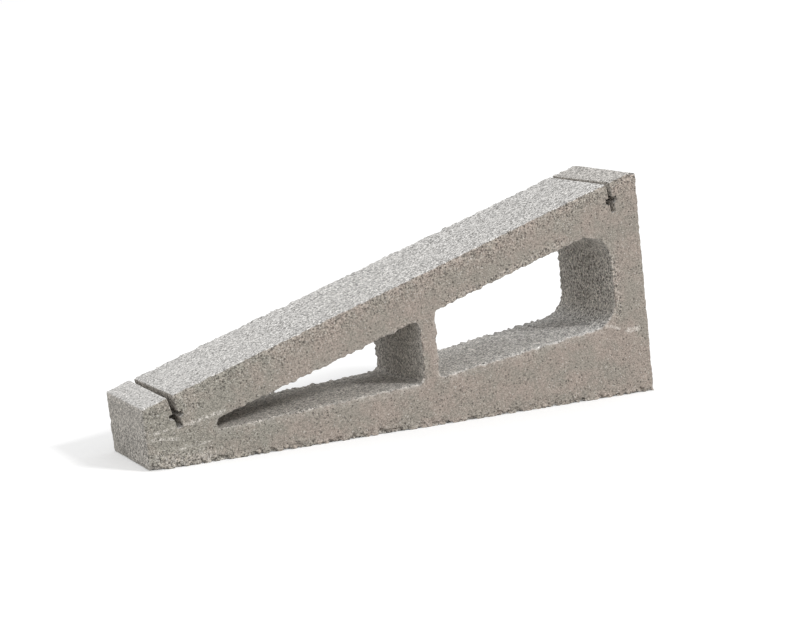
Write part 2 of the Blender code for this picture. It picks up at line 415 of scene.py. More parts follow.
def rounded_outline(corners):
    """Closed outline with an arc at each corner.

    Walked this way the material is on the left, so the outward normal is to the right. An arc
    touches both sides of its corner. Its point at a turn t is its centre plus or minus the radius
    times the normal turned by t. A corner's wear belongs to the side that starts there, and its
    arris and lean pass evenly into the next corner's. The soft normals are averages over
    neighbours, and the corner gap is the distance along the path to the nearest corner that
    stands out of the material.
    """
    places = np.array([(corner.x, corner.z) for corner in corners])
    sides = np.roll(places, -1, axis=0) - places
    lengths = np.hypot(*sides.T)
    ways = sides / lengths[:, None]
    starts, ends, arcs = [], [], []
    for index, (place, corner) in enumerate(zip(places, corners)):
        before, after = ways[index - 1], ways[index]
        turn = math.atan2(before[0] * after[1] - before[1] * after[0], before @ after)
        shorter = min(lengths[index - 1], lengths[index])
        reach = min(corner.radius * math.tan(abs(turn) / 2), ARC_SHARE * shorter)
        fitted = reach / math.tan(abs(turn) / 2)
        starts.append(place - before * reach)
        ends.append(place + after * reach)
        widest = ARRIS_SHARE * fitted if turn > 0 else math.inf
        arcs.append((turn, fitted, min(corner.arris, widest)))

    points, normals, traits, standing = [], [], [], []
    for index, (turn, radius, arris) in enumerate(arcs):
        corner, before = corners[index], corners[index - 1]
        following = (index + 1) % len(arcs)
        inner = radius <= SLOT_ROUND
        step = SLOT_STEP if inner else STEP
        side = math.copysign(1.0, turn)
        first = right_of(ways[index - 1])
        centre = starts[index] - side * radius * first
        count = max(math.ceil(abs(turn) / ARC_TURN), math.ceil(radius * abs(turn) / step))
        share = np.arange(count)[:, None] / count
        normal = np.cos(share * turn) * first + np.sin(share * turn) * ways[index - 1]
        points.append(centre + side * radius * normal)
        normals.append(normal)
        traits.append(np.hstack([
            np.full((count, 1), arris), before.wear + share * (corner.wear - before.wear),
            np.tile(corner.lean, (count, 1))]))
        standing.append(np.full(count, turn > SHARP_TURN))

        start, end = ends[index], starts[following]
        count = max(1, round(math.dist(start, end) / step))
        share = np.arange(count)[:, None] / count
        points.append(start * (1 - share) + end * share)
        normals.append(np.tile(right_of(ways[index]), (count, 1)))
        traits.append(np.hstack([
            arris + share * (arcs[following][2] - arris), np.full((count, 1), corner.wear),
            np.array(corner.lean) * (1 - share) + np.array(corners[following].lean) * share]))
        standing.append(np.full(count, False))

    points = np.concatenate(points)
    normals = np.concatenate(normals)
    soft = sum(np.roll(normals, shift, axis=0) for shift in range(-SOFT_POINTS, SOFT_POINTS + 1))
    soft /= np.hypot(*soft.T)[:, None]
    steps = np.hypot(*(np.roll(points, -1, axis=0) - points).T)
    walked = np.concatenate([[0.0], np.cumsum(steps)[:-1]])
    corner_walks = walked[np.concatenate(standing)]
    corner_gap = np.full(len(points), steps.sum())
    if len(corner_walks):
        gaps = np.abs(walked[:, None] - corner_walks[None, :])
        corner_gap = np.minimum(gaps, steps.sum() - gaps).min(axis=1)
    traits = np.concatenate(traits)
    return Outline(points, normals, soft, traits[:, 0], traits[:, 1], traits[:, 2:], corner_gap)


def width_columns(widest_arris):
    """Columns across the width: side, turn round the arris, and distance in from the side.

    The turn goes from 0 on the flat side to a right angle on the outline's own surface. Past the
    arris the columns widen, up to an even spacing in the middle.
    """
    turns = np.linspace(0.0, math.pi / 2, ARRIS_COLUMNS)
    fine = widest_arris + np.array(FINE_COLUMNS)
    middle_width = WIDTH - 2 * fine[-1]
    count = round(middle_width / MIDDLE_COLUMN)
    middle = fine[-1] + np.arange(1, count) * middle_width / count
    outer = ARRIS_COLUMNS + len(fine)
    sides = np.concatenate([np.full(outer + len(middle), -1.0), np.full(outer, 1.0)])
    angles = np.concatenate([
        turns, np.full(2 * len(fine) + len(middle), math.pi / 2), turns[::-1]])
    flats = np.concatenate([
        np.zeros(ARRIS_COLUMNS), fine, middle, fine[::-1], np.zeros(ARRIS_COLUMNS)])
    return sides, angles, flats


def unit(vectors):
    return vectors / np.linalg.norm(vectors, axis=-1, keepdims=True)


def near_an_edge(gap, wear=1.0):
    """1 on an arris, falling off like a bell beside it, and farther out where wear is heavy."""
    reach = EDGE_REACH * np.clip(wear, 1.0, HEAVY_REACH)
    return np.exp(-(np.maximum(gap, 0.0) / reach) ** 2)


def carried_across(outline, columns):
    """Grid of an outline carried across the width, as points, normals, ways of wear and rub.

    On an arris of radius r a column turned by t lies r(1 - sin t) inside the outline and
    r(1 - cos t) in from the flat side. Everywhere else it lies on the outline. The lean moves the
    near side's outline one way and the far side's the other. On an arris wear goes straight in
    between the two faces, and past it turns back to the face's own normal. Rub is how hard the
    place wears.
    """
    sides, angles, flats = columns
    points, normals, arris = outline.points, outline.normals, outline.arris[:, None]
    inset = arris * (1 - np.sin(angles))
    depth = np.where(flats > 0, flats, arris * (1 - np.cos(angles)))
    grid = np.empty((len(points), len(angles), 3))
    grid[..., 0::2] = points[:, None, :] - inset[..., None] * normals[:, None, :]
    grid[..., 1] = sides * (WIDTH / 2 - depth)
    grid[..., 0::2] -= outline.lean[:, None, :] * grid[..., 1:2] / (WIDTH / 2)
    outward = np.empty_like(grid)
    outward[..., 0::2] = np.sin(angles)[:, None] * normals[:, None, :]
    outward[..., 1] = sides * np.cos(angles)
    closeness = near_an_edge(depth - arris, outline.wear[:, None])
    ways = np.empty_like(grid)
    ways[..., 0::2] = outline.soft[:, None, :]
    ways[..., 1] = sides * closeness
    rub = np.maximum(outline.wear[:, None] * closeness,
                     CORNER_WEAR * near_an_edge(outline.corner_gap)[:, None])
    return Skin(grid, outward, unit(ways), rub)


def grid_faces(rows, columns, first):
    """Four-sided faces of a grid that closes on itself along its rows."""
    here = np.arange(rows)[:, None] * columns + np.arange(columns - 1)[None, :] + first
    there = (np.arange(rows)[:, None] + 1) % rows * columns + np.arange(columns - 1) + first
    return np.stack([here, here + 1, there + 1, there], axis=-1).reshape(-1, 4)


def in_chunks(function, points, size=2000):
    return np.concatenate([function(points[start:start + size])
                           for start in range(0, len(points), size)])


def inside(points, loops):
    """Whether each point lies in the material: a level ray from it crosses the loops oddly."""
    starts = np.concatenate(loops)
    ends = np.concatenate([np.roll(loop, -1, axis=0) for loop in loops])

    def odd(some):
        x, z = some[:, :1], some[:, 1:]
        spans = (starts[:, 1] > z) != (ends[:, 1] > z)
        rise = np.where(ends[:, 1] == starts[:, 1], 1.0, ends[:, 1] - starts[:, 1])
        crossing = starts[:, 0] + (z - starts[:, 1]) * (ends[:, 0] - starts[:, 0]) / rise
        return (spans & (crossing > x)).sum(axis=1) % 2 == 1

    return in_chunks(odd, points)


def nearest(points, places):
    """Number of the nearest place for each point."""
    def closest(some):
        return np.hypot(some[:, :1] - places[:, 0], some[:, 1:] - places[:, 1]).argmin(axis=1)

    return in_chunks(closest, points)


def from_line(places, line):
    """Distance in the side view from each place to a straight stretch."""
    start, end = np.array(line.start), np.array(line.end)
    way = end - start
    share = np.clip((places - start) @ way / (way @ way), 0.0, 1.0)
    return np.hypot(*(places - start - share[:, None] * way).T)


def side_filling(loops, lines):
    """Points inside the side view, and the triangles between them and the loops.

    The points are a triangular lattice, whole within FINE_BAND of an edge or MARK_BAND of a line
    and thinned out elsewhere. The first points that the triangles name are the loops' own. A
    triangle between three points of one loop is kept if it names them in the order in which the
    loop is walked, because the material is on the loop's left. Any other is kept if its middle
    is inside.
    """
    places = np.concatenate(loops)
    columns = np.arange(0.0, LENGTH, FINE_GRID)
    rows = np.arange(0.0, HIGH.z, FINE_GRID * math.sin(math.pi / 3))
    column, row = np.meshgrid(np.arange(len(columns)), np.arange(len(rows)))
    lattice = np.stack([columns[column] + (row % 2) * FINE_GRID / 2, rows[row]], axis=-1)
    sparse = (row % COARSE_STRIDE == 0) & ((column + row // 2) % COARSE_STRIDE == 0)
    lattice, sparse = lattice.reshape(-1, 2), sparse.reshape(-1)
    kept = inside(lattice, loops)
    lattice, sparse = lattice[kept], sparse[kept]
    gap = np.hypot(*(lattice - places[nearest(lattice, places)]).T)
    marked = np.zeros(len(lattice), bool)
    for line in lines:
        marked |= from_line(lattice, line) < MARK_BAND
    lattice = lattice[(gap > EDGE_CLEARANCE) & ((gap < FINE_BAND) | marked | sparse)]

    firsts = np.cumsum([0] + [len(loop) for loop in loops])
    rims = [np.stack([np.arange(len(loop)), (np.arange(len(loop)) + 1) % len(loop)], axis=1) + first
            for loop, first in zip(loops, firsts)]
    everything = np.concatenate([places, lattice])
    found = delaunay_2d_cdt(
        everything.tolist(), np.concatenate(rims).tolist(), [], 0, WELD, True)
    origins = np.array([origin[0] for origin in found[3]])
    triangles = origins[np.array(found[2])]
    owners = np.concatenate([
        np.repeat(np.arange(len(loops)), [len(loop) for loop in loops]),
        -1 - np.arange(len(lattice))])[triangles]
    one_loop = (owners == owners[:, :1]).all(axis=1)
    first, second, third = triangles.T
    in_order = (((first < second) & (second < third)) | ((second < third) & (third < first))
                | ((third < first) & (first < second)))
    solid = np.where(one_loop, in_order, inside(everything[triangles].mean(axis=1), loops))
    return lattice, triangles[solid]


def mixed(cells, seed):
    """Place in the random table for each whole-numbered cell."""
    keys = cells[..., 0] * 73856093 ^ cells[..., 1] * 19349663 ^ cells[..., 2] * 83492791
    keys = keys ^ (seed * 40503)
    return (keys ^ (keys >> 13)) % SLOPE_TABLE


def smooth_noise(points, size, seed):
    """Noise from about -1 to 1 that swells and sinks over the given size.

    Each corner of a cubic lattice has a random slope. A point's value blends the heights of the
    eight slopes round it by 6t^5 - 15t^4 + 10t^3 along each axis.
    """
    slopes = unit(np.random.default_rng(seed).normal(size=(SLOPE_TABLE, 3)))
    cell = np.floor(points / size).astype(np.int64)
    part = points / size - cell
    blend = part ** 3 * (part * (part * 6 - 15) + 10)
    total = np.zeros(len(points))
    for corner in itertools.product((0, 1), repeat=3):
        height = ((part - corner) * slopes[mixed(cell + corner, seed)]).sum(axis=1)
        total += height * np.prod(np.where(corner, blend, 1 - blend), axis=1)
    return total * NOISE_GAIN


def scattered(points, size, seed):
    """Distance to the nearest of one random spot in each cell, and that spot's random number."""
    random = np.random.default_rng(seed).random((SLOPE_TABLE, 4))
    cell = np.floor(points / size).astype(np.int64)
    best = np.full(len(points), np.inf)
    number = np.zeros(len(points))
    for corner in itertools.product((-1, 0, 1), repeat=3):
        drawn = random[mixed(cell + corner, seed)]
        distance = np.linalg.norm(cell + corner + drawn[:, :3] - points / size, axis=1)
        number = np.where(distance < best, drawn[:, 3], number)
        best = np.minimum(best, distance)
    return best, number


def swelling(points, swell, seed):
    """Noise of the swell's size, from about minus to plus its height."""
    return swell.height * smooth_noise(points, swell.size, seed)


def hump(distance, reach):
    """1 at no distance, falling smoothly to 0 at the reach."""
    share = np.clip(1 - distance / reach, 0.0, 1.0)
    return share * share * (3 - 2 * share)


def along_line(places, line):
    """1 on a line in the side view, falling smoothly to 0 at its width."""
    return hump(from_line(places, line), line.width)


# Raised burrs on the near side of the low front end, where the mould's liner was joined
LEDGES = (
    Line((0.0218, 0.0744), (0.1100, 0.0880), 0.0042),
    Line((0.0960, 0.0845), (0.1668, 0.0985), 0.0056),
    Line((0.0095, 0.0620), (0.0696, 0.0580), 0.0042),
    Line((0.0672, 0.0367), (0.1326, 0.0427), 0.0026),
)
# Lime that has run out and dried at the foot of the tall back end
BLOOMS = (
    Line((1.0054, 0.1514), (1.0342, 0.1409), 0.0048),
    Line((1.0519, 0.1345), (1.0762, 0.1360), 0.0085),
)
# Open seam in the seat beam, and the loose margins where the mix came away from the core
SEAMS = (
    Line((0.7267, 0.3066), (0.7291, 0.2648), 0.0035),
)
CRUMBLY_MARGINS = (
    Line((1.0330, 0.1700), (1.0330, 0.2880), 0.0170),
    Line((0.1573, 0.0760), (0.1900, 0.0860), 0.0120),
    Line((0.5930, 0.1060), (0.5930, 0.2000), 0.0120),
    Line((0.3284, 0.1240), (0.5814, 0.2180), 0.0110),
    Line((0.6541, 0.2450), (0.9188, 0.3360), 0.0110),
)
# Open, stony mix at the foot of the low front end
OPEN_PATCH = Line((0.0250, 0.0170), (0.1300, 0.0110), 0.0300)
# Smaller chips: distance from the front end, and depth
FOOT_CHIPS = ((0.2946, 0.0055), (0.0711, 0.0040), (0.6415, 0.0040), (1.0623, 0.0040))
FAR_SEAT_CHIPS = ((0.4023, 0.0080), (0.1034, 0.0040), (0.7586, 0.0040))
FAR_FRONT_FLOOR_CHIPS = ((0.5072, 0.0035), (0.5427, 0.0040))
FAR_BACK_FLOOR_CHIPS = ((0.8573, 0.0050),)
# Nicks in the low front end's near arris: distance from the front end, height, and depth
END_NICKS = ((0.0010, 0.0804, 0.0050), (0.0015, 0.0603, 0.0045))
# Crumbs of mix left standing on an opening's edge: distance from the front end, and height
CEILING_CRUMB = (0.3908, 0.0035)
FAR_FRONT_FLOOR_CRUMB = (0.4210, 0.0050)
FAR_BACK_FLOOR_CRUMBS = ((0.8165, 0.0045), (0.8392, 0.0025))


def front_floor_far(x):
    """Height of the front opening's floor at the far side."""
    return front_bar_height(x) - FRONT_FLOOR_DRAFT


def back_floor_far(x, sizes):
    """Height of the back opening's floor at the far side."""
    return back_bar_height(x, sizes) - BACK_FLOOR_DRAFT


def chips(sizes):
    """Missing pieces: place, half sizes and the way that the break faces into the block.

    They are the front slot's uphill lip, the seat's top corner, the front foot's corner, and then
    the smaller ones.
    """
    uphill = FRONT_SLOT["neck"] / 2 + 2 * tilted(FRONT_SLOT, 0.0)
    front_lip = on_seat(front_slot_middle() + uphill, 0.0)
    land = LENGTH - APEX_LAND
    found = [
        Chip((front_lip[0], NEAR, front_lip[1]), (0.004, 0.004, 0.003), (0.5, 0.6, -0.6)),
        Chip((land + 0.004, NEAR, seat_height(land)), (0.012, 0.007, 0.006), (-0.3, 0.6, -0.7)),
        Chip((0.012, NEAR, 0.002), (0.020, 0.010, 0.009), (0.4, 0.6, 0.7)),
    ]
    for x, z, depth in END_NICKS:
        found.append(Chip((x, NEAR, z), (0.006, 0.006, depth), (0.7, 0.7, 0.0)))
    for x, depth in FOOT_CHIPS:
        found.append(Chip((x, NEAR, 0.0), (0.007, 0.009, depth), (0.0, 0.4, 0.9)))
    for x, depth in FAR_SEAT_CHIPS:
        found.append(Chip((x, FAR, seat_height(x)), (0.009, 0.011, depth), (0.1, -0.4, -0.9)))
    into_floor = (0.0, -0.4, -0.9)
    for x, depth in FAR_FRONT_FLOOR_CHIPS:
        found.append(Chip((x, FAR, front_floor_far(x)), (0.006, 0.010, depth), into_floor))
    for x, depth in FAR_BACK_FLOOR_CHIPS:
        found.append(Chip((x, FAR, back_floor_far(x, sizes)), (0.007, 0.010, depth), into_floor))
    return found


def lumps(sizes):
    """Crumbs of mix left standing: place, reach and height. The first is in the front tip."""
    found = [Lump((front_tip(sizes) + 0.006, NEAR + 0.004, 0.0790), 0.0060, 0.0060)]
    x, height = CEILING_CRUMB
    found.append(Lump((x, NEAR, ceiling_height(x, sizes)), 0.0060, height))
    x, height = FAR_FRONT_FLOOR_CRUMB
    found.append(Lump((x, FAR, front_floor_far(x)), 0.0055, height))
    for x, height in FAR_BACK_FLOOR_CRUMBS:
        found.append(Lump((x, FAR, back_floor_far(x, sizes)), 0.0055, height))
    return found


def bitten(points, chip, seed):
    """Moves points inside a lumpy ellipsoid along one direction until they lie on its surface.

    In the ellipsoid's own units a point q moves by t along a, where t solves |q + ta| = 1.
    Returns the moved points and which ones moved.
    """
    reach = np.array(chip.reach)
    centre = np.array(chip.place) - [LENGTH / 2, 0.0, 0.0]
    offset = (points - centre) / reach
    offset /= 1.0 + CHIP_LUMP * smooth_noise(points, 0.5 * float(reach.mean()), seed)[:, None]
    within = (offset ** 2).sum(axis=1) < 1.0
    way = np.array(chip.inward) / np.linalg.norm(chip.inward)
    scaled = way / reach
    square = scaled @ scaled
    half = offset @ scaled
    left = np.clip(half ** 2 - square * ((offset ** 2).sum(axis=1) - 1.0), 0.0, None)
    travel = np.where(within, (-half + np.sqrt(left)) / square, 0.0)
    return points + travel[:, None] * way, within


def block_skin(sizes):
    """Smooth skin of the whole block, with its four-sided faces and its triangles."""
    outlines = [rounded_outline(corners) for corners in (
        body_corners(sizes), front_opening_corners(sizes), back_opening_corners(sizes))]
    columns = width_columns(max(sizes.arris, sizes.core_arris, FRONT_END_ARRIS, FLOOR_ARRIS))
    grids = [carried_across(outline, columns) for outline in outlines]
    across = len(columns[0])
    counts = [len(outline.points) for outline in outlines]
    firsts = np.cumsum([0] + [count * across for count in counts])
    quads = np.concatenate([
        grid_faces(count, across, first) for count, first in zip(counts, firsts)])

    soft = np.concatenate([outline.soft for outline in outlines])
    wear = np.concatenate([outline.wear for outline in outlines])
    rims = np.concatenate([
        np.arange(count) * across + first for count, first in zip(counts, firsts)])
    parts = [Skin(*(field.reshape(-1, *field.shape[2:]) for field in grid)) for grid in grids]
    fillings = []
    filled = firsts[-1]
    marks = LEDGES + BLOOMS + SEAMS + CRUMBLY_MARGINS
    for side, column, lines, order in ((-1.0, 0, marks, [0, 1, 2]),
                                       (1.0, across - 1, (), [0, 2, 1])):
        loops = [grid.points[:, column, 0::2] for grid in grids]
        lattice, triangles = side_filling(loops, lines)
        places = np.concatenate(loops)
        closest = nearest(lattice, places)
        closeness = near_an_edge(np.hypot(*(lattice - places[closest]).T), wear[closest])
        middle = np.full((len(lattice), 3), side * WIDTH / 2)
        middle[:, 0::2] = lattice
        ways = np.full((len(lattice), 3), side)
        ways[:, 0::2] = soft[closest] * closeness[:, None]
        parts.append(Skin(middle, np.tile([0.0, side, 0.0], (len(lattice), 1)), unit(ways),
                          wear[closest] * closeness))
        names = np.concatenate([rims + column, np.arange(len(lattice)) + filled])
        fillings.append(names[triangles][:, order])
        filled += len(lattice)
    skin = Skin(*(np.concatenate(fields) for fields in zip(*parts)))
    skin = skin._replace(points=skin.points - [LENGTH / 2, 0.0, 0.0])
    return skin, quads, np.concatenate(fillings)


def openness(skin, seed):
    """How open and stony the mix is, from 0 on the closest pressed face to 1."""
    places = skin.points[:, 0::2] + [LENGTH / 2, 0.0]
    pressed = np.abs(skin.normals[:, 1])
    low_end = hump(places[:, 0], LOW_END_REACH)
    under_seat = hump(np.abs(seat_height(places[:, 0]) - places[:, 1]), SEAT_REACH)
    under_seat *= 1 - LOW_SEAT_CLOSING * low_end
    foot = hump(places[:, 1], FOOT_REACH)
    patchy = PATCHY_OPENNESS * smooth_noise(skin.points, PATCH_SIZE, seed)
    on_side = (SIDE_OPENNESS + LOW_END_OPENNESS * low_end + SEAT_OPENNESS * under_seat
               + FOOT_OPENNESS_AND_SHADE * foot + patchy)
    near = skin.normals[:, 1] < -0.5
    on_side += near * SPOT_OPENNESS * along_line(places, OPEN_PATCH)
    for line in CRUMBLY_MARGINS:
        on_side += near * MARGIN_OPENNESS * along_line(places, line)
    closed = LOW_TOP_CLOSING * low_end * np.clip(skin.normals[:, 2], 0.0, 1.0)
    moulded = MOULDED_OPENNESS + patchy - closed
    return np.clip(pressed * on_side + (1 - pressed) * moulded, 0.0, 1.0)


def crumbled(points, rub, seed):
    """Depth that the arrises have lost, and how far that bares fresh mix.

    The depth sums steady wear, crumbs of two sizes and bites, and counts as far as the place rubs.
    """
    crumbs = (STEADY_WEAR + swelling(points, CRUMBS, seed + 6)
              + swelling(points, FINE_CRUMBS, seed + 7))
    distance, number = scattered(points, BITE_SPACING, seed + 8)
    bites = hump(distance, BITE_REACH) * (number > BITELESS_SHARE)
    return rub * (crumbs + BITE_DEPTH * bites), rub * (0.35 + np.abs(crumbs) / BROKEN_DEPTH + bites)


def powder_and_sky_light_lying(places, normals, sizes):
    """Powder and painted sky light on upward faces, 0 to 1: none just below a ceiling, as painted
    shade, and less on the cap.
    """
    cover = ceiling_height(places[:, 0], sizes) - places[:, 1]
    # Painted shade under the seat beam: no powder or sky light just below a ceiling
    beam_shaded = np.where(cover > 0, np.clip(2.0 - cover / BEAM_SHADE_REACH, 0.0, 1.0), 0.0)
    cap = places[:, 0] > on_seat(back_slot_middle(), 0.0)[0]
    level = (normals[:, 2] - DUST_AND_SKY_FROM) / (DUST_AND_SKY_FULL - DUST_AND_SKY_FROM)
    return np.clip(level, 0.0, 1.0) * np.where(cap, CAP_DUST_AND_SKY, 1 - beam_shaded)


def relief(skin, sizes):
    """Relieved points, and how pressed, cooled, open, broken and bloomed they are, and their powder
    and painted sky light.

    A height along the normal sums the mould's waves, lumps of mix, grit, open pits, burrs and
    seams. The crumbled depth goes along the way of wear. The single chips and crumbs come last.
    """
    seed = sizes.seed
    points, normals, ways, rub = skin
    places = points[:, 0::2] + [LENGTH / 2, 0.0]
    near = np.clip(-normals[:, 1] * 2 - 1, 0.0, 1.0)
    open_mix = openness(skin, seed + 20)
    fine = smooth_noise(points, GRIT.size, seed + 3)
    flat_side = np.abs(normals[:, 1])
    lumpy = open_mix * (MOULDED_LUMPS + (1 - MOULDED_LUMPS) * flat_side)
    height = swelling(points, LONG_WAVES, seed) + swelling(points, SHORT_WAVES, seed + 1)
    height += lumpy * (swelling(points, LUMPS_OF_MIX, seed + 2) + GRIT.height * fine)
    distance, number = scattered(points, PIT_SPACING, seed + 4)
    pits = hump(distance, PIT_REACH + PIT_SPREAD * number) * (number > PITLESS_SHARE)
    height -= PIT_DEPTH * pits * open_mix * flat_side

    bloomed = np.zeros(len(points))
    for line in LEDGES:
        burr = near * along_line(places, line) * np.clip(0.8 + 1.6 * fine, 0.0, 1.6)
        height += BURR_HEIGHT * burr
        bloomed = np.maximum(bloomed, burr)
    for line in BLOOMS:
        crust = near * along_line(places, line) * np.clip(0.8 + fine, 0.0, 1.2)
        bloomed = np.maximum(bloomed, crust)
    stony = near * along_line(places, OPEN_PATCH) * np.clip(0.4 + 2.4 * fine, 0.0, 1.6)
    bloomed = np.maximum(bloomed, 0.5 * stony)
    for line in SEAMS:
        height -= SEAM_DEPTH * near * along_line(places, line)

    depth, bared = crumbled(points, rub, seed)
    broken = np.clip(bared, 0.0, 1.0) * (1 - hump(places[:, 1], FOOT_SOIL))
    moved = points + normals * (height * sizes.grit - SKIN)[:, None]
    moved -= ways * (depth * sizes.crumble)[:, None]
    for line in CRUMBLY_MARGINS:
        crumbly = near * along_line(places, line) * np.clip(0.3 + 2.0 * fine, 0.0, 1.0)
        broken = np.maximum(broken, crumbly)
    for number, chip in enumerate(chips(sizes)):
        half_sizes = tuple(half * sizes.damage for half in chip.reach)
        moved, within = bitten(moved, chip._replace(reach=half_sizes), seed + 30 + number)
        broken[within] = 1.0
    for lump in lumps(sizes):
        centre = np.array(lump.place) - [LENGTH / 2, 0.0, 0.0]
        rise = hump(np.linalg.norm(points - centre, axis=1), lump.reach)
        moved += ways * (lump.height * rise * sizes.damage)[:, None]
    marks = {"pressed": flat_side, "cooled": hump(places[:, 0], GREY_REACH),
             "open_mix": open_mix, "broken": broken, "bloomed": np.clip(bloomed, 0.0, 1.0),
             "dusted_and_sky_lit": powder_and_sky_light_lying(places, normals, sizes)}
    return np.clip(moved, LOW, HIGH), marks


def block_mesh(sizes):
    skin, quads, triangles = block_skin(sizes)
    points, marks = relief(skin, sizes)
    mesh = bpy.data.meshes.new("ballast_block_skin")
    loops = np.concatenate([quads.reshape(-1), triangles.reshape(-1)])
    starts = np.concatenate([
        np.arange(len(quads)) * 4, len(quads) * 4 + np.arange(len(triangles)) * 3])
    mesh.vertices.add(len(points))
    mesh.vertices.foreach_set("co", points.astype(np.float32).reshape(-1))
    mesh.loops.add(len(loops))
    mesh.loops.foreach_set("vertex_index", loops.astype(np.int32))
    mesh.polygons.add(len(starts))
    mesh.polygons.foreach_set("loop_start", starts.astype(np.int32))
    mesh.update(calc_edges=True)
    mesh.validate()
    mesh.shade_smooth()
    for name, values in marks.items():
        attribute = mesh.attributes.new(name, "FLOAT", "POINT")
        attribute.data.foreach_set("value", values.astype(np.float32))
    return mesh


def add(tree, kind, inputs=None, **settings):
    """Adds a node with its settings, and gives each input a value or another node's output."""
    node = tree.nodes.new(kind)
    for name, value in settings.items():
        setattr(node, name, value)
    for name, value in (inputs or {}).items():
        if isinstance(value, bpy.types.NodeSocket):
            tree.links.new(value, node.inputs[name])
        else:
            node.inputs[name].default_value = value
    return node


# Sockets of the Mix node in its colour mode
FACTOR, FROM, TO, MIXED = 0, 6, 7, 2


def reckoned(tree, operation, *values, clamp=False):
    """Output of one operation on the values."""
    node = add(tree, "ShaderNodeMath", dict(enumerate(values)), operation=operation,
               use_clamp=clamp)
    return node.outputs[0]


def ramped(tree, value, source=(0.0, 1.0), target=(0.0, 1.0)):
    """Output that passes evenly over the target while the value passes over the source."""
    node = add(tree, "ShaderNodeMapRange", {
        "Value": value, "From Min": source[0], "From Max": source[1], "To Min": target[0],
        "To Max": target[1]})
    return node.outputs["Result"]


def blended(tree, share, colour, other):
    """Output of a colour that turns into the other one as the share goes from 0 to 1."""
    node = add(tree, "ShaderNodeMix", {FACTOR: share, FROM: colour, TO: other}, data_type="RGBA")
    return node.outputs[MIXED]


def cells(tree, place, width):
    """Distance to the middle of the nearest cell, and that cell's own random numbers."""
    node = add(tree, "ShaderNodeTexVoronoi", {"Vector": place, "Scale": 1 / width})
    drawn = add(tree, "ShaderNodeSeparateColor", {"Color": node.outputs["Color"]})
    return node.outputs["Distance"], drawn.outputs


CLOUD_WIDTH = 0.042       # a cloud in the cement's colour
PASTE_WIDTH = 0.0036      # a clot of cement paste between the grains
BUMP_DEPTH = 0.0010       # from the lowest to the highest grain


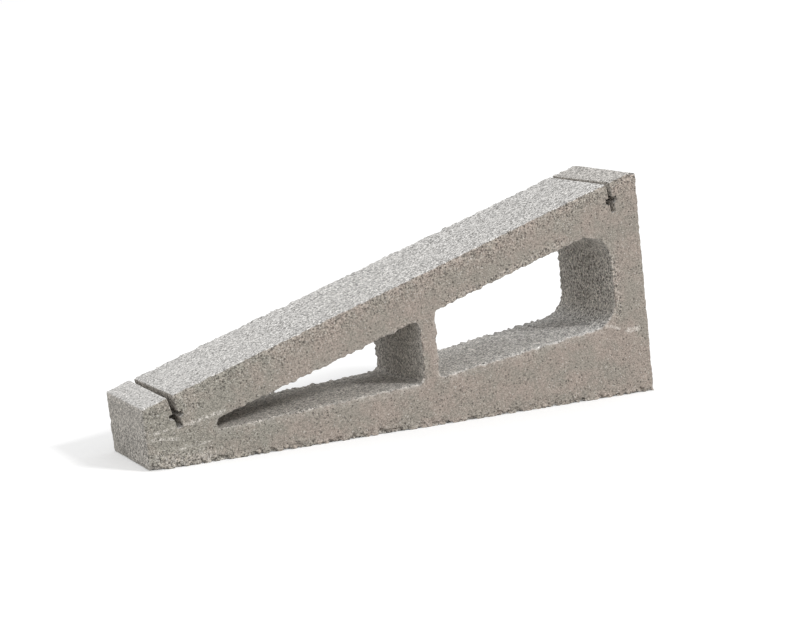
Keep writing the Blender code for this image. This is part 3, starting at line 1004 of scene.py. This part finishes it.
def dry_cast_concrete(looks):
    """Dry-cast concrete: stiff mix pressed in a steel mould and stripped at once.

    To the eye it is matt and grainy. Sand grains of about 2 mm, and of up to 4 mm where the mix
    is open, show through a thin cement skin, with small open pores between them. The two pressed
    sides are warmer and closer, and the faces cast on the mould's walls are greyer and more
    open. Real sand of this kind is 0.5 to 4 mm, so only its coarse share is drawn.
    """
    material = bpy.data.materials.new("dry_cast_concrete")
    material.use_nodes = True
    tree = material.node_tree
    shader = tree.nodes["Principled BSDF"]
    shader.inputs["Roughness"].default_value = 0.92
    shader.inputs["IOR"].default_value = 1.5
    shader.inputs["Specular IOR Level"].default_value = 0.35

    place = add(tree, "ShaderNodeTexCoord").outputs["Object"]
    pressed, cooled, open_mix, broken, bloomed, dusted_and_sky_lit = [
        add(tree, "ShaderNodeAttribute", attribute_name=name).outputs["Fac"]
        for name in ("pressed", "cooled", "open_mix", "broken", "bloomed", "dusted_and_sky_lit")]

    # Cement: warm with greyer clouds on the pressed sides and towards the low end, grey
    # elsewhere, and paler on top: partly settled cement powder, partly painted sky light
    clouds = add(tree, "ShaderNodeTexNoise", {
        "Vector": place, "Scale": 1 / CLOUD_WIDTH, "Detail": 3.0, "Roughness": 0.6})
    cloudy = ramped(tree, clouds.outputs["Fac"], (0.38, 0.62), (0.0, 0.7))
    cool = reckoned(tree, "MULTIPLY_ADD", cooled, 0.7, cloudy, clamp=True)
    pressed_tone = blended(tree, cool, looks.pressed, looks.pressed_cool)
    cement = blended(tree, pressed, looks.moulded, pressed_tone)
    dusty_and_sky_lit = blended(tree, dusted_and_sky_lit, cement, looks.dust_and_sky_light)

    # Sand: each cell is one grain with its own tone, coarser stones too where the mix is open
    sand_gap, sand_drawn = cells(tree, place, looks.grain)
    stones_drawn = cells(tree, place, looks.stone)[1]
    clots = add(tree, "ShaderNodeTexNoise", {
        "Vector": place, "Scale": 1 / PASTE_WIDTH, "Detail": 2.0, "Roughness": 0.62})
    paste = clots.outputs["Fac"]
    stone_tone = ramped(tree, stones_drawn["Red"], target=(-0.5, 0.5))
    stone_level = reckoned(tree, "MULTIPLY", stone_tone, open_mix)
    uneven = reckoned(tree, "MULTIPLY_ADD", paste, 0.8, sand_drawn["Red"])
    grain_level = reckoned(tree, "SUBTRACT", uneven, 0.9)
    level = reckoned(tree, "ADD", grain_level, stone_level)
    contrast = ramped(tree, open_mix, target=(0.64, 1.40))
    tone = reckoned(tree, "MULTIPLY_ADD", level, contrast, 1.0)
    tone_kept = reckoned(tree, "MAXIMUM", tone, 0.2)
    sanded = add(tree, "ShaderNodeVectorMath", {0: dusty_and_sky_lit, "Scale": tone_kept}, operation="SCALE")

    # Pale grains, more of them where the mix is open, and the pale powder of bruised edges
    pale_from = ramped(tree, open_mix, target=(0.995, 0.95))
    pale = reckoned(tree, "GREATER_THAN", sand_drawn["Green"], pale_from)
    pale_share = reckoned(tree, "MULTIPLY", pale, 0.5)
    speckled = blended(tree, pale_share, sanded.outputs[0], looks.pale_grain)
    crumb = ramped(tree, sand_drawn["Blue"], (0.25, 0.75))
    bruise = reckoned(tree, "MULTIPLY_ADD", broken, 0.24, bloomed)
    bruise_share = reckoned(tree, "MULTIPLY", bruise, crumb, clamp=True)
    bruised = blended(tree, bruise_share, speckled, looks.bloom)

    # Open pores: the middles of wider cells, each with its own width, painted dark as the shade in
    # them
    pore_middle, pore_drawn = cells(tree, place, looks.pore)
    pore_width = ramped(tree, open_mix, target=(0.38, 0.50))
    pore_edge = ramped(tree, pore_drawn["Red"], (0.15, 1.0), (0.0, pore_width))
    pore_gap = reckoned(tree, "SUBTRACT", pore_edge, pore_middle)
    pore_share = ramped(tree, pore_gap, (0.0, 0.12), (0.0, 0.85))
    pore_shaded = blended(tree, pore_share, bruised, looks.dark_grain_and_pore_shade)
    tree.links.new(pore_shaded, shader.inputs["Base Color"])

    # Relief of the grains and pores
    raised = reckoned(tree, "SUBTRACT", paste, sand_gap)
    sunk = reckoned(tree, "SUBTRACT", raised, pore_share)
    bump_share = ramped(tree, open_mix, target=(0.25, 0.75))
    bump = add(tree, "ShaderNodeBump", {
        "Height": sunk, "Strength": bump_share, "Distance": BUMP_DEPTH})
    tree.links.new(bump.outputs["Normal"], shader.inputs["Normal"])
    return material


class BALLAST_OT_block(bpy.types.Operator):
    """Build the concrete block's skin and give it its finish"""
    bl_idname = "ballast.block"
    bl_label = "Concrete Block"

    def execute(self, context):
        mesh = block_mesh(context.scene.ballast_sizes)
        mesh.materials.append(dry_cast_concrete(context.scene.ballast_looks))
        block = bpy.data.objects.new("concrete_block", mesh)
        context.scene.collection.objects.link(block)
        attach(block, "root")
        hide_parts("ballast_block")
        return {"FINISHED"}


def seen_directly(tree):
    """1 for rays from the camera, off gloss or through glass, and 0 for light on the object."""
    rays = add(tree, "ShaderNodeLightPath").outputs
    mirrored = reckoned(tree, "MAXIMUM", rays["Is Camera Ray"], rays["Is Glossy Ray"])
    return reckoned(tree, "MAXIMUM", mirrored, rays["Is Transmission Ray"])


# The camera sees the floor as this much plain white, and its own shade of this grey on top, so
# that open floor is white and the block's shadow stays faint
FLOOR_GLOW = 0.335
FLOOR_SEEN = "#E2E2E2"
FLOOR_REACH = 40.0
KEY_WAY = Vector((0.79, -1.42, 1.0))      # from the block towards the lamp
KEY_SPREAD = math.radians(10.0)
AIM = Vector((0.0547, 0.0, 0.2050))       # point that the camera looks at


def studio_floor(settings):
    """Pale matt floor. The camera and mirrors see it white, with the block's shadow on it."""
    mesh = bpy.data.meshes.new("studio_floor")
    corners = [(x * FLOOR_REACH, y * FLOOR_REACH, 0.0)
               for x, y in ((-1, -1), (1, -1), (1, 1), (-1, 1))]
    mesh.from_pydata(corners, [], [(0, 1, 2, 3)])
    material = bpy.data.materials.new("matt_paint_floor")
    material.use_nodes = True
    tree = material.node_tree
    shader = tree.nodes["Principled BSDF"]
    shader.inputs["Roughness"].default_value = 0.9
    shader.inputs["Specular IOR Level"].default_value = 0.0
    shader.inputs["Emission Color"].default_value = linear("#FFFFFF")
    seen = seen_directly(tree)
    paint = blended(tree, seen, settings.floor, linear(FLOOR_SEEN))
    tree.links.new(paint, shader.inputs["Base Color"])
    glow = reckoned(tree, "MULTIPLY", seen, FLOOR_GLOW)
    tree.links.new(glow, shader.inputs["Emission Strength"])
    mesh.materials.append(material)
    floor = bpy.data.objects.new("studio_floor", mesh)
    bpy.context.scene.collection.objects.link(floor)


def studio_sky(settings):
    """Even light from all round, which the camera sees as white."""
    world = bpy.data.worlds.new("studio_sky")
    world.use_nodes = True
    tree = world.node_tree
    lit = tree.nodes["Background"]
    lit.inputs["Color"].default_value = linear("#FFFFFF")
    lit.inputs["Strength"].default_value = settings.sky
    white = add(tree, "ShaderNodeBackground", {"Color": linear("#FFFFFF"), "Strength": 1.0})
    blend = add(tree, "ShaderNodeMixShader", {
        0: seen_directly(tree), 1: lit.outputs[0], 2: white.outputs[0]})
    tree.links.new(blend.outputs[0], tree.nodes["World Output"].inputs["Surface"])
    bpy.context.scene.world = world


def key_lamp(settings):
    """Soft distant lamp. It throws the block's shadow past its far side and its low end."""
    light = bpy.data.lights.new("key_lamp", "SUN")
    light.energy = settings.key
    light.angle = KEY_SPREAD
    lamp = bpy.data.objects.new("key_lamp", light)
    lamp.rotation_euler = KEY_WAY.to_track_quat("Z", "Y").to_euler()
    bpy.context.scene.collection.objects.link(lamp)


def studio_camera(settings):
    """Camera on a circle round the block, turned about its own view by the roll."""
    turn, rise, roll = settings.azimuth, settings.elevation, settings.roll
    back = Vector((math.sin(turn) * math.cos(rise), -math.cos(turn) * math.cos(rise),
                   math.sin(rise)))
    level = Vector((math.cos(turn), math.sin(turn), 0.0))
    upright = back.cross(level)
    right = level * math.cos(roll) - upright * math.sin(roll)
    up = level * math.sin(roll) + upright * math.cos(roll)
    lens = bpy.data.cameras.new("camera")
    lens.lens = settings.lens
    lens.sensor_width = 36.0
    lens.clip_end = 200.0
    camera = bpy.data.objects.new("camera", lens)
    turned = Matrix((right, up, back)).transposed().to_4x4()
    camera.matrix_world = Matrix.Translation(AIM + back * settings.distance) @ turned
    bpy.context.scene.collection.objects.link(camera)
    bpy.context.scene.camera = camera


class BALLAST_OT_studio(bpy.types.Operator):
    """Set up the floor, the light and the camera"""
    bl_idname = "ballast.studio"
    bl_label = "Studio"

    def execute(self, context):
        settings = context.scene.ballast_studio
        studio_floor(settings)
        studio_sky(settings)
        key_lamp(settings)
        studio_camera(settings)
        context.scene.view_settings.view_transform = "Standard"
        return {"FINISHED"}


class BALLAST_PT_panel(bpy.types.Panel):
    """Sizes, colours and light of the ballast block"""
    bl_idname = "BALLAST_PT_panel"
    bl_label = "Ballast Block"
    bl_space_type = "VIEW_3D"
    bl_region_type = "UI"
    bl_category = "Ballast Block"

    def draw(self, context):
        for group, operator in (("ballast_sizes", None), ("ballast_looks", "ballast.block"),
                                ("ballast_studio", "ballast.studio")):
            settings = getattr(context.scene, group)
            column = self.layout.column(align=True)
            for name in settings.bl_rna.properties.keys():
                if name not in ("rna_type", "name"):
                    column.prop(settings, name)
            if operator:
                self.layout.operator(operator)


CLASSES = (BlockSizes, ConcreteLooks, StudioSettings, BALLAST_OT_block, BALLAST_OT_studio,
           BALLAST_PT_panel)


def register():
    for each in CLASSES:
        bpy.utils.register_class(each)
    bpy.types.Scene.ballast_sizes = PointerProperty(type=BlockSizes)
    bpy.types.Scene.ballast_looks = PointerProperty(type=ConcreteLooks)
    bpy.types.Scene.ballast_studio = PointerProperty(type=StudioSettings)


def unregister():
    del bpy.types.Scene.ballast_studio
    del bpy.types.Scene.ballast_looks
    del bpy.types.Scene.ballast_sizes
    for each in reversed(CLASSES):
        bpy.utils.unregister_class(each)


def main():
    register()
    bpy.ops.ballast.block()
    bpy.ops.ballast.studio()


if __name__ == "__main__":
    main()
